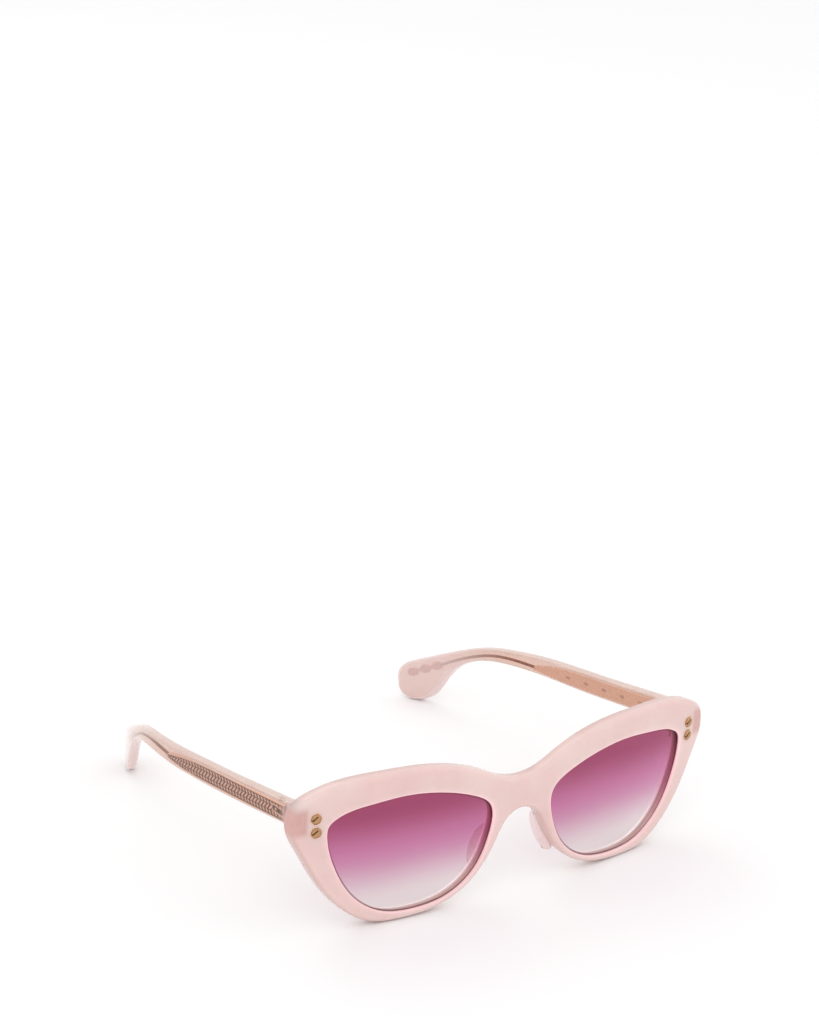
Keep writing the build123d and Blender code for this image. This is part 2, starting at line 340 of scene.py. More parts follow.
def rod(path, sizes, side, name, material, body):
    """A closed tube in the middle of a temple: each size is half a height and half a thickness."""
    ahead = np.gradient(path, axis=0)
    ahead /= np.linalg.norm(ahead, axis=1)[:, None]
    place = temple_place(side, TEMPLE_THICKNESS / 2)
    points = [
        place(depth - rise * tall * cos(a), height + forward * tall * cos(a), wide * sin(a))
        for (depth, height), (forward, rise), (tall, wide) in zip(path, ahead, sizes)
        for a in np.linspace(0, 2 * pi, ROD_SIDES, endpoint=False)
    ]
    faces = bands(0, ROD_SIDES, len(path))
    for end, base in ((path[0], 0), (path[-1], (len(path) - 1) * ROD_SIDES)):
        points.append(place(*end))
        faces += [(base + i, base + (i + 1) % ROD_SIDES, len(points) - 1) for i in range(ROD_SIDES)]
    return piece(name, points, faces, material, body)


def smooth(value, low, high):
    """0 below low, 1 above high, and smooth between, for arrays."""
    t = np.clip((value - low) / (high - low), 0, 1)
    return t * t * (3 - 2 * t)


# ------------------------------------------------------------------ shader maths
class Wire:
    """A socket of a material's nodes that takes arithmetic."""

    def __init__(self, tree, socket=None):
        self.tree = tree
        self.socket = socket

    def node(self, kind, settings=None, inputs=None, output=0):
        """Adds any node: its settings first, then the values or wires of its sockets."""
        made = self.tree.nodes.new(kind)
        for setting, value in (settings or {}).items():
            setattr(made, setting, value)
        for place, value in (inputs or {}).items():
            if isinstance(value, Wire):
                self.tree.links.new(value.socket, made.inputs[place])
            else:
                made.inputs[place].default_value = value
        return Wire(self.tree, made.outputs[output] if len(made.outputs) else None)

    def math(self, operation, *values):
        return self.node("ShaderNodeMath", {"operation": operation}, dict(enumerate(values)))

    def __add__(self, other):
        return self.math("ADD", self, other)

    def __radd__(self, other):
        return self.math("ADD", other, self)

    def __sub__(self, other):
        return self.math("SUBTRACT", self, other)

    def __rsub__(self, other):
        return self.math("SUBTRACT", other, self)

    def __mul__(self, other):
        return self.math("MULTIPLY", self, other)

    def __rmul__(self, other):
        return self.math("MULTIPLY", other, self)

    def step(self, low, high):
        """0 below low, 1 above high, and smooth between."""
        return self.node("ShaderNodeMapRange", {"interpolation_type": "SMOOTHSTEP"}, {
            "Value": self, "From Min": low, "From Max": high})

    def surface_of(self, output):
        """Makes this shader a material's surface."""
        self.tree.links.new(self.socket, output.inputs["Surface"])


def linear(red, green, blue):
    """A screen colour of 0 to 255 as the linear colour that a shader takes."""
    parts = (red / 255, green / 255, blue / 255)
    return tuple(((c + 0.055) / 1.055) ** 2.4 if c > 0.04 else c / 12.92 for c in parts) + (1.0,)


def finish_named(name):
    """A new material, a wire to start from and its output node."""
    material = bpy.data.materials.new(name)
    material.use_nodes = True
    material.node_tree.nodes.clear()
    output = material.node_tree.nodes.new("ShaderNodeOutputMaterial")
    return material, Wire(material.node_tree), output


def place_of(start):
    """Object coordinates in millimetres, as a vector and as its three parts."""
    where = start.node("ShaderNodeTexCoord", output="Object")
    scaled = start.node("ShaderNodeVectorMath", {"operation": "SCALE"}, {0: where, "Scale": 1000.0})
    return [scaled] + [start.node("ShaderNodeSeparateXYZ", None, {0: scaled}, k) for k in range(3)]


def marked(start, name):
    """A value that a piece carries at each of its points."""
    return start.node("ShaderNodeAttribute", {"attribute_name": name}, None, "Fac")


def noise(start, where, scale, detail=3.0, rough=0.5):
    """Fractal noise of 0 to 1 with features of 1 / scale millimetres."""
    return start.node("ShaderNodeTexNoise", None, {
        "Vector": where, "Scale": scale, "Detail": detail, "Roughness": rough}, "Fac")


def blend(start, amount, low, high):
    """A colour between two colours."""
    return start.node("ShaderNodeMix", {"data_type": "RGBA"}, {0: amount, 6: low, 7: high}, 2)


def mixed(start, share, first, second):
    """A shader between two shaders."""
    return start.node("ShaderNodeMixShader", None, {0: share, 1: first, 2: second})


def bump(start, height, distance, strength):
    """A normal from a height in millimetres."""
    return start.node("ShaderNodeBump", None, {
        "Height": height, "Distance": distance * MM, "Strength": strength})


def shade(start, kind="ShaderNodeBsdfPrincipled", **inputs):
    """A shader with its sockets named with underscores for spaces."""
    return start.node(kind, None, {key.replace("_", " "): value for key, value in inputs.items()})


# ------------------------------------------------------------------ materials
def front_acetate(props):
    """Milky pink acetate: clouds, a painted glow on the thin rims and around the rivets, painted light on the
    opening walls, painted shade on the outer edge, and a shadow where the hinge sits behind it.
    """
    material, start, output = finish_named("milky pink acetate")
    where, across, _, height = place_of(start)
    clouds = noise(start, where, 0.06, 4.0, 0.55)
    streaks = noise(start, where, 0.35, 5.0, 0.6)
    tone = (clouds - 0.5) * 1.1 + (streaks - 0.5) * 0.15 + 0.5
    colour = blend(start, tone.step(0.2, 0.8), props.pale, props.deep)
    # Painted shade on the outer edge: its back rounding and where it faces down.
    colour = blend(start, marked(start, "painted_edge_shade") * 0.85, colour, props.shade)
    side = start.math("ABSOLUTE", across)
    beside = start.math("ABSOLUTE", side - HINGE_SHADOW[0])
    over = start.math("ABSOLUTE", height - HINGE_SHADOW[1])
    shadow = (1.0 - beside.step(1.8, 3.6)) * (1.0 - over.step(2.4, 4.8))
    colour = blend(start, shadow * (0.85 + (streaks - 0.5) * 0.5), colour, props.hinge_shadow)
    # Painted glow around each rivet.
    for rivet_across, rivet_height in RIVETS.values():
        apart, above = side - rivet_across, height - (rivet_height + FACE_LIFT)
        near = 1.0 - start.math("SQRT", apart * apart + above * above).step(1.3, 2.5)
        colour = blend(start, near * 0.5, colour, props.painted_rivet_glow)
    # Painted light: a glow on the thin rims around the lenses, brighter towards the top, and light on the
    # opening walls behind the lenses, both in the colour and as emission.
    rim, wall = marked(start, "rim"), marked(start, "wall")
    colour = blend(start, rim, colour, props.painted_rim_glow)
    colour = blend(start, wall, colour, props.painted_wall_light)
    painted_glow_emission = blend(start, rim * (height.step(8.0, 28.0) * 0.3 + 0.1), BLACK, props.painted_rim_glow)
    painted_glow_emission = blend(start, wall * 0.3, painted_glow_emission, props.painted_wall_light)
    haze = noise(start, where, 1.6, 4.0)
    shader = shade(start, Base_Color=colour, Roughness=haze * 0.10 + 0.13, Subsurface_Weight=0.35,
                   Subsurface_Radius=(0.004, 0.0022, 0.002), Subsurface_Scale=1.0, IOR=1.49,
                   Coat_Weight=0.25, Coat_Roughness=0.06, Normal=bump(start, haze, 0.012, 0.5),
                   Emission_Color=painted_glow_emission, Emission_Strength=1.0)
    shader.surface_of(output)
    return material


def outside(start):
    """1 on the side of a surface that faces out of the piece, 0 on its inside."""
    return 1.0 - start.node("ShaderNodeNewGeometry", output="Backfacing")


def polished(start, body, share, ior, rough, normal):
    """A shader with polish over it."""
    gloss = shade(start, "ShaderNodeBsdfGlossy", Color=WHITE, Roughness=rough, Normal=normal)
    mirror = start.node("ShaderNodeFresnel", None, {"IOR": ior, "Normal": normal})
    return mixed(start, mirror * share, body, gloss)


def clear_body(start, tint, milk, cloudy, normal, rough):
    """Clear acetate: tinted transparency with milk in it, polished on its outside."""
    front = outside(start)
    clear = start.node("ShaderNodeBsdfTransparent", None, {0: tint})
    return polished(start, mixed(start, cloudy * front, clear, milk), front, 1.5, rough, normal)


def temple_acetate(props):
    """Clear peach acetate, milky along its edges, at the butt and towards the tip."""
    material, start, output = finish_named("clear peach acetate")
    where, _, depth, _ = place_of(start)
    along = depth - FACE_DEPTH
    clouds = noise(start, where, 0.09, 4.0, 0.55)
    tone = blend(start, clouds.step(0.3, 0.7), props.temple_pale, props.temple_deep)
    tone = blend(start, along.step(84.0, 112.0), tone, props.tip)
    haze = noise(start, where, 1.8, 4.0)
    normal = bump(start, haze, 0.01, 0.4)
    milk = shade(start, Base_Color=tone, Roughness=haze * 0.1 + 0.12, Subsurface_Weight=0.3,
                 Subsurface_Radius=(0.003, 0.002, 0.0018), Subsurface_Scale=1.0, IOR=1.49, Normal=normal)
    tip = along.step(80.0, 112.0)
    butt = 1.0 - along.step(14.5, 18.0)
    edge = marked(start, "edge") * (0.55 - tip * 0.2)
    cloudy = tip * 0.62 + butt * 0.5 + edge + (clouds - 0.5) * 0.08 + 0.02
    body = clear_body(start, props.temple_tint, milk, cloudy, normal, haze * 0.05 + 0.05)
    body.surface_of(output)
    return material


def pad_acetate(props):
    """Clear acetate of the nose pads."""
    material, start, output = finish_named("clear pad acetate")
    where = place_of(start)[0]
    haze = noise(start, where, 1.8, 4.0)
    normal = bump(start, haze, 0.01, 0.4)
    milk = shade(start, Base_Color=props.pale, Roughness=haze * 0.1 + 0.15, IOR=1.49, Normal=normal)
    cloudy = noise(start, where, 0.2) * 0.1 + marked(start, "edge") * 0.3 + 0.08
    body = clear_body(start, props.pad_tint, milk, cloudy, normal, haze * 0.05 + 0.05)
    body.surface_of(output)
    return material


def lens_tint(props):
    """Graduated tint: plum at the top, rose in the middle and almost clear at the bottom."""
    material, start, output = finish_named("graduated lens")
    where, _, _, height = place_of(start)
    level = height + (noise(start, where, 0.05, 2.0) - 0.5) * 1.2
    clear, rose, plum, line = (
        start.node("ShaderNodeBsdfTransparent", None, {0: tint})
        for tint in (props.lens_clear, props.lens_rose, props.lens_plum, props.lens_line))
    tint = mixed(start, level.step(props.clear_height, props.rose_height), clear, rose)
    tint = mixed(start, level.step(props.rose_height - 3.0, props.plum_height), tint, plum)
    normal = bump(start, noise(start, where, 1.2, 3.0), 0.004, 0.25)
    front = outside(start)
    tint = mixed(start, marked(start, "ring") * front * 0.9, tint, line)
    polished(start, tint, front * 0.8, 1.45, 0.03, normal).surface_of(output)
    return material


def plated_metal(name, plating, props, rough=0.2, grain=3.0):
    """Plated metal with fine brushing: its colour and a painted shaded copy mixed at random, and painted
    shade where the relief is deep, where it is also less metallic and rougher.
    """
    material, start, output = finish_named(name)
    where = place_of(start)[0]
    fine = noise(start, where, grain, 5.0, 0.65)
    wide = noise(start, where, 0.5, 3.0)
    deep = marked(start, "depth")
    light, dark = getattr(props, plating), getattr(props, f"{plating}_dark")
    # A painted shaded copy of the metal, mixed in at random by noise.
    colour = blend(start, (wide - 0.5) * 0.5 + fine * 0.15 + 0.17, light, dark)
    # Painted shade where the relief is deep.
    colour = blend(start, deep, colour, props.painted_recess_shade)
    shader = shade(start, Base_Color=colour, Metallic=1.0 - deep * 0.5,
                   Roughness=fine * 0.16 + deep * 0.25 + rough, Normal=bump(start, fine, 0.012, 0.5))
    shader.surface_of(output)
    return material


# ------------------------------------------------------------------ settings
def number(name, text, value, **kind):
    return bpy.props.FloatProperty(name=name, description=text, default=value, **kind)


def length(name, text, value):
    return number(name, text, value, unit="LENGTH")


def angle(name, text, degrees):
    return number(name, text, radians(degrees), subtype="ANGLE")


def colour(name, text, red, green, blue):
    return bpy.props.FloatVectorProperty(name=name, description=text, size=4, subtype="COLOR",
                                         min=0, max=1, default=linear(red, green, blue))


class AcetateSettings(bpy.types.PropertyGroup):
    """Roundings and colours of the acetate."""

    outer_round: length("Outer rounding", "Rounding of the front's outer edge on the face", 1.3 * MM)
    back_round: length("Back rounding", "Rounding of the front's edges on the back", 0.9 * MM)
    opening_round: length("Opening rounding", "Rounding of the lens openings on the face", 0.5 * MM)
    temple_round: length("Temple rounding", "Rounding of the temple's long edges", 1.0 * MM)
    pale: colour("Pale pink", "Palest cloud of the front", 229, 204, 199)
    deep: colour("Deep pink", "Deepest cloud of the front", 224, 192, 188)
    # The next four colours are painted light and shade: a glow on the lens rims, light on the opening walls,
    # shade on the outer edge and a glow around the rivets.
    painted_rim_glow: colour("Rim glow", "Colour of the thin rim around each lens", 250, 196, 200)
    painted_wall_light: colour("Lit wall", "Colour of the opening's wall behind the lens", 252, 240, 238)
    shade: colour("Edge shade", "Colour of the front's outer edge", 204, 172, 166)
    painted_rivet_glow: colour("Halo", "Colour of the front around each rivet", 236, 190, 162)
    hinge_shadow: colour("Hinge shadow", "Colour where the hinge shows through the front", 206, 158, 152)
    temple_pale: colour("Temple pale", "Palest cloud of the temples", 212, 189, 179)
    temple_deep: colour("Temple deep", "Deepest cloud of the temples", 202, 173, 162)
    tip: colour("Tip", "Milky colour of the temple tips", 225, 202, 199)
    temple_tint: colour("Temple tint", "What one surface of a temple lets through", 238, 218, 209)
    pad_tint: colour("Pad tint", "What one surface of a nose pad lets through", 250, 240, 240)


class LensSettings(bpy.types.PropertyGroup):
    """Curve and tint of the lenses."""

    radius: length("Radius", "Outer sphere of the lens", 200 * MM)
    thickness: length("Thickness", "Thickness of the lens", 1.8 * MM)
    bevel: length("Bevel", "Depth of the lens in its groove", 0.8 * MM)
    lens_plum: colour("Plum", "What the top of one lens surface lets through", 201, 132, 163)
    lens_rose: colour("Rose", "What the middle lets through", 226, 178, 206)
    lens_clear: colour("Clear", "What the bottom lets through", 246, 243, 243)
    lens_line: colour("Edge line", "What the ground edge of the lens lets through", 150, 112, 120)
    clear_height: number("Clear height", "Top of the clear part, mm", 6.0)
    rose_height: number("Rose height", "Middle of the tint, mm", 23.0)
    plum_height: number("Plum height", "Full tint from here up, mm", 33.0)


class MetalSettings(bpy.types.PropertyGroup):
    """Relief and colours of the metal."""

    chevron_pitch: length("Chevron pitch", "Length of one engraved chevron", 1.5 * MM)
    relief: length("Relief", "Depth of the engraving", 0.16 * MM)
    # Each metal has its colour and a darker painted shaded copy of it.
    gold: colour("Gold", "Rivet heads", 196, 154, 114)
    gold_dark: colour("Dark gold", "Shaded gold of the rivet heads", 146, 104, 68)
    rose: colour("Rose gold", "Core plate", 240, 216, 199)
    rose_dark: colour("Dark rose gold", "Shaded rose gold of the core", 222, 190, 170)
    steel: colour("Hinge metal", "Hinges and their screws", 214, 196, 172)
    steel_dark: colour("Dark hinge metal", "Shaded metal of the hinges", 168, 146, 118)
    # Painted shade in the engraving and the rivet slots.
    painted_recess_shade: colour("Recess", "Deepest engraving", 92, 40, 22)
    wire: colour("Wire", "Wire of the core", 160, 110, 88)
    wire_dark: colour("Dark wire", "Shaded metal of the wire", 106, 66, 50)
    bead: colour("Bead", "Beads at the end of the core", 206, 142, 114)
    bead_dark: colour("Dark bead", "Shaded metal of the beads", 168, 104, 78)


class StudioSettings(bpy.types.PropertyGroup):
    """Light, floor and camera."""

    floor: colour("Floor", "Pale floor", 250, 250, 250)
    focal: number("Focal length", "Camera focal length, mm", 98.83)
    distance: length("Distance", "Camera to the middle of the table under the part", 0.8151)
    azimuth: angle("Azimuth", "Camera azimuth", -37.493)
    elevation: angle("Elevation", "Camera elevation", 19.792)
    roll: angle("Roll", "Camera roll", 3.772)
    aim: bpy.props.FloatVectorProperty(
        name="Aim", description="Part's origin in the camera's view, across and up", size=2,
        default=(-0.006692, -0.084378), unit="LENGTH")


# ------------------------------------------------------------------ the pieces
class Builder:
    """What every operator shares."""

    bl_options = {"REGISTER", "UNDO"}


class BuildFront(Builder, bpy.types.Operator):
    """Acetate front with grooved lens openings and an end-piece lug behind each hinge corner"""

    bl_idname = "sunglasses.front"
    bl_label = "Front"

    def execute(self, context):
        acetate = context.scene.sunglasses_acetate
        top = spline(FRONT_TOP, 160, start=(1, 0), end=(0, -1))
        bottom = spline(FRONT_BOTTOM, 200, start=(0, -1), end=(-1, 0))
        half = np.vstack([top, bottom[1:]])
        whole = np.vstack([half, (half * [-1, 1])[::-1][1:-1]])
        outer = anticlockwise(even(whole, 620))
        openings = [
            anticlockwise(even(spline(OPENING, 500, closed=True) * [side, 1], 300)) for _, side in SIDES]
        back = rounding(acetate.back_round / MM, 6, True, FRONT_THICKNESS)
        outer_profile = rounding(acetate.outer_round / MM, 8) + back
        deep, near, far = GROOVE["deep"], GROOVE["near"], GROOVE["far"]
        groove = [(0, near), (deep, near), (deep, far), (0, far)]
        opening_profile = rounding(acetate.opening_round / MM, 5) + groove + back
        profiles = [outer_profile, opening_profile, opening_profile]
        points, faces = plate([outer] + openings, profiles, front_place, 1.3)
        for _, side in SIDES:
            self.add_lug(points, faces, side)
        front = piece("acetate_front", points, faces, front_acetate(acetate), FRONT_BODY)
        self.mark_edges(front, outer, openings)
        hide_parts("front")
        return {"FINISHED"}

    def add_lug(self, points, faces, side):
        """A block with rounded long edges behind one corner."""
        middle = ((LUG["inner"] + LUG["outer"]) / 2, (LUG["bottom"] + LUG["top"]) / 2)
        half = ((LUG["outer"] - LUG["inner"]) / 2, (LUG["top"] - LUG["bottom"]) / 2)
        corner, turns = 0.6, 6
        ring = [
            (middle[0] + right * (half[0] - corner) + corner * cos((quarter + k / turns) * pi / 2),
             middle[1] + above * (half[1] - corner) + corner * sin((quarter + k / turns) * pi / 2))
            for quarter, (right, above) in enumerate(((1, 1), (-1, 1), (-1, -1), (1, -1)))
            for k in range(turns + 1)
        ]
        start, count, end = len(points), len(ring), LUG["end"]
        levels = ((LUG["root"], 0), (end - 0.35, 0), (end - 0.1, 0.1), (end, 0.35))
        for depth, shrink in levels:
            for x, z in ring:
                x -= shrink * (1 if x > middle[0] else -1)
                z -= shrink * (1 if z > middle[1] else -1)
                points.append(Vector((side * x, FACE_DEPTH + depth, z)) * MM)
        faces += bands(start, count, len(levels))
        last = start + (len(levels) - 1) * count
        faces += [tuple(range(start, start + count)), tuple(range(last, last + count))]

    def mark_edges(self, front, outer, openings):
        """How close each point is to an opening's lip, to the wall behind it, and to the outer edge, as masks
        of painted glow, painted light and painted shade.
        """
        lip_width, lip_depth, wall_width = 0.6, 0.75, 0.4
        back_width, back_depth, under_width = 1.2, 3.2, 0.9
        flat, depth = flat_of(front)
        close = np.minimum(nearest(flat, openings[0]), nearest(flat, openings[1]))
        # The rim mark is a painted glow on the lip, and the wall mark is painted light on the wall behind the
        # lens.
        mark(front, "rim", np.clip(1 - close / lip_width, 0, 1) * (depth < lip_depth))
        mark(front, "wall", np.clip(1 - close / wall_width, 0, 1) * (depth > lip_depth))
        # Painted shade on the back rounding of the outer edge and where the edge faces down.
        normals = np.empty(len(depth) * 3)
        front.data.vertices.foreach_get("normal", normals)
        away = nearest(flat, outer)
        behind = np.clip(1 - away / back_width, 0, 1) * (depth > back_depth)
        below = np.clip(1 - away / under_width, 0, 1) * (normals.reshape(-1, 3)[:, 2] < -0.1)
        mark(front, "painted_edge_shade", np.maximum(behind, below))


class BuildLenses(Builder, bpy.types.Operator):
    """Tinted lenses ground on a sphere, seated in the grooves"""

    bl_idname = "sunglasses.lenses"
    bl_label = "Lenses"

    def execute(self, context):
        settings = context.scene.sunglasses_lens
        radius, thickness, bevel = settings.radius / MM, settings.thickness / MM, settings.bevel / MM
        tint = lens_tint(settings)
        edge = np.array(OPENING)
        apart = edge - LENS_MIDDLE
        edge = edge + apart / np.linalg.norm(apart, axis=1)[:, None] * bevel
        face = [(inset, 0) for inset in (bevel + 0.55, bevel + 0.28, bevel - 0.05, 0.4, 0.12)] + [(0, 0.12)]
        profile = face + [(inset, thickness - depth) for inset, depth in reversed(face)]
        for name, side in SIDES:
            loop = anticlockwise(even(spline(edge, 900, closed=True) * [side, 1], 520))
            middle = front_place(side * LENS_MIDDLE[0], LENS_MIDDLE[1], LENS_SETBACK) / MM
            ahead = (Vector((side * LENS_MIDDLE[0] / WRAP_RADIUS, 0, 0)) - BACK).normalized()
            centre = middle - ahead * radius

            def ground(across, height, depth):
                start = ORIGIN + Vector((across, 0, 0)) + UP * height - centre
                reach = start.dot(BACK)
                back = reach + sqrt(reach**2 - start.length_squared + (radius - depth) ** 2)
                return (centre + start - BACK * back) * MM

            points, faces = plate([loop], [profile], ground, 1.4)
            lens = piece(f"tinted_lens_{name}", points, faces, tint, FRONT_BODY)
            inset = nearest(flat_of(lens)[0], loop) - bevel
            mark(lens, "ring", np.clip((0.5 - inset) / 0.25, 0, 1) * (inset > -0.3))
            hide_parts(f"lens_{name}")
        return {"FINISHED"}


class BuildPads(Builder, bpy.types.Operator):
    """Teardrop nose pads that stand behind the inner rims"""

    bl_idname = "sunglasses.pads"
    bl_label = "Nose pads"

    def execute(self, context):
        material = pad_acetate(context.scene.sunglasses_acetate)
        half_height, reach, thickness, round_edge = 7.0, 4.6, 3.2, 1.3
        root_across, root_height, sunk = 10.4, 14.0, 0.4
        foot_half, foot_depth, foot_steps = half_height * 0.96, 0.9, 20
        splay, flare = radians(20), radians(4)
        arc = [(half_height * cos(a), reach * sin(a)) for a in np.linspace(0, pi, 60)]
        foot = [(k * 2 * foot_half / foot_steps - foot_half, -foot_depth) for k in range(foot_steps + 1)]
        loop = anticlockwise(even(np.array(arc + foot), 130))
        profile = rounding(round_edge, 7) + rounding(round_edge, 7, True, thickness)
        for name, side in SIDES:
            root = front_place(side * root_across, root_height, FRONT_THICKNESS - sunk) / MM
            along = Vector((-side * sin(splay), 0, cos(splay)))
            out = Vector((side * cos(flare), -sin(flare), 0))
            behind = along.cross(out)
            behind = behind if behind.y > 0 else -behind

            def stand(a, b, depth):
                return (root + along * a + behind * b + out * (depth - thickness / 2)) * MM

            points, faces = plate([loop], [profile], stand, 0.8)
            pad = piece(f"clear_nose_pad_{name}", points, faces, material, FRONT_BODY)
            mark_walls(pad, points, loop, profile)
            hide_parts(f"nose_pad_{name}")
        return {"FINISHED"}


class BuildRivets(Builder, bpy.types.Operator):
    """Faceted rivet heads with a slanted driving slot, on round shanks"""

    bl_idname = "sunglasses.rivets"
    bl_label = "Rivets"

    def execute(self, context):
        settings = context.scene.sunglasses_metal
        gold = plated_metal("rivet gold", "gold", settings, 0.16, 2.5)
        for name, side in SIDES:
            for place, (across, height) in RIVETS.items():
                made = self.rivet(f"rivet_head_{place}_{name}", side * across, height, gold)
                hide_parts(f"rivet_{place}_{name}")
        return {"FINISHED"}

    def rivet(self, name, across, height, gold):
        """A softly six-sided head with a ground bevel and a slot, and its round shank."""
        seat = front_place(across, height, 0) / MM
        ahead = (Vector((across / WRAP_RADIUS, 0, 0)) - BACK).normalized()
        right = UP.cross(ahead).normalized()
        above = ahead.cross(right)
        head, shank, shank_end, under = 1.58, 0.55, -4.5, -0.1
        levels = [(shank_end, shank), (under, shank), (under, head), (0.16, head), (0.24, head * 0.97),
                  (0.55, head * 0.66), (0.62, head * 0.58)]
        facet, count, turn = pi / 6, 24, radians(12)
        points = []
        for rise, radius in levels:
            for angle in (k * 2 * pi / count for k in range(count)):
                flat = cos(facet) / cos(angle % (2 * facet) - facet)
                reach = radius if radius == shank else radius * (flat * 0.75 + 0.25)
                outwards = right * cos(angle + turn) + above * sin(angle + turn)
                points.append((seat + outwards * reach + ahead * rise) * MM)
        last = (len(levels) - 1) * count
        faces = bands(0, count, len(levels)) + [tuple(range(count)), tuple(range(last, last + count))]
        made = piece(name, points, faces, gold, FRONT_BODY, smooth=False)
        self.cut_slot(made, seat, right, above, ahead)
        return made

    def cut_slot(self, made, seat, right, above, ahead):
        """Cuts the slanted slot with a boolean and marks its floor as recessed, for painted shade in the
        slot.
        """
        slant, width, length, floor, over = radians(38), 0.34, 1.9, 0.30, 1.2
        lengthways = right * cos(slant) + above * sin(slant)
        sideways = above * cos(slant) - right * sin(slant)
        offset = sideways * 0.42 - right * 0.25
        middle = seat + offset
        corners = [
            (middle + lengthways * (a * length / 2) + sideways * (b * width / 2) + ahead * c) * MM
            for c in (floor, over) for a, b in ((-1, -1), (1, -1), (1, 1), (-1, 1))
        ]
        mesh = bpy.data.meshes.new("slot_cutter")
        mesh.from_pydata([tuple(c) for c in corners], [], [
            (3, 2, 1, 0), (4, 5, 6, 7), (0, 1, 5, 4), (1, 2, 6, 5), (2, 3, 7, 6), (3, 0, 4, 7)])
        cutter = bpy.data.objects.new("slot_cutter", mesh)
        bpy.context.collection.objects.link(cutter)
        cut = made.modifiers.new("slot", "BOOLEAN")
        cut.operation, cut.object, cut.solver = "DIFFERENCE", cutter, "EXACT"
        graph = bpy.context.evaluated_depsgraph_get()
        shaped = bpy.data.meshes.new_from_object(made.evaluated_get(graph))
        made.modifiers.clear()
        made.data = shaped
        bpy.data.objects.remove(cutter)
        mark(made, "depth", [
            float(abs((vertex.co / MM - seat).dot(ahead) - floor) < 0.01
                  and abs((vertex.co / MM - middle).dot(sideways)) < width)
            for vertex in shaped.vertices])


class FinishHinges(Builder, bpy.types.Operator):
    """Plated metal on the five-knuckle hinges and their slotted screws"""

    bl_idname = "sunglasses.hinges"
    bl_label = "Hinges and screws"

    def execute(self, context):
        settings = context.scene.sunglasses_metal
        brushed = plated_metal("hinge metal", "steel", settings)
        turned = plated_metal("screw metal", "steel", settings, 0.12, 4.0)
        for name, _ in SIDES:
            for node, metal in (("front_hinge", brushed), ("temple_hinge", brushed), ("hinge_screw", turned)):
                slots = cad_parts[f"{node}_{name}"].data.materials
                for k in range(len(slots)):
                    slots[k] = metal
        return {"FINISHED"}


class BuildTemples(Builder, bpy.types.Operator):
    """Clear acetate temples with rounded long edges and a paddle tip"""

    bl_idname = "sunglasses.temples"
    bl_label = "Temples"

    def execute(self, context):
        settings = context.scene.sunglasses_acetate
        material = temple_acetate(settings)
        butt = np.linspace(TEMPLE_BOTTOM[-1], TEMPLE_TOP[0], 14)[1:-1]
        loop = np.vstack([
            spline(TEMPLE_TOP, 240)[:-1], spline(TEMPLE_BACK, 60)[:-1], spline(TEMPLE_BOTTOM, 260), butt])
        loop = even(loop, 560)
        for _ in range(3):
            loop = (np.roll(loop, 1, axis=0) + loop * 2 + np.roll(loop, -1, axis=0)) / 4
        loop = anticlockwise(loop)
        loop[:, 0] = np.maximum(loop[:, 0], TEMPLE_TOP[0][0])
        sharp, clear_of_box = 0.3, 0.02
        soft = sharp + (1 - sharp) * np.clip((loop[:, 0] - TEMPLE_TOP[0][0] - 0.25) / 3.0, 0, 1)
        radius = settings.temple_round / MM
        rings = rounding(radius, 7) + rounding(radius, 7, True, TEMPLE_THICKNESS)
        profile = [(inset * soft + clear_of_box, depth) for inset, depth in rings]
        for name, side in SIDES:
            points, faces = plate([loop], [profile], temple_place(side, TEMPLE_THICKNESS), 1.3)
            temple = piece(f"acetate_temple_{name}", points, faces, material, f"temple_{name}_body")
            mark_walls(temple, points, loop, profile)
            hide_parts(f"temple_{name}")
        return {"FINISHED"}


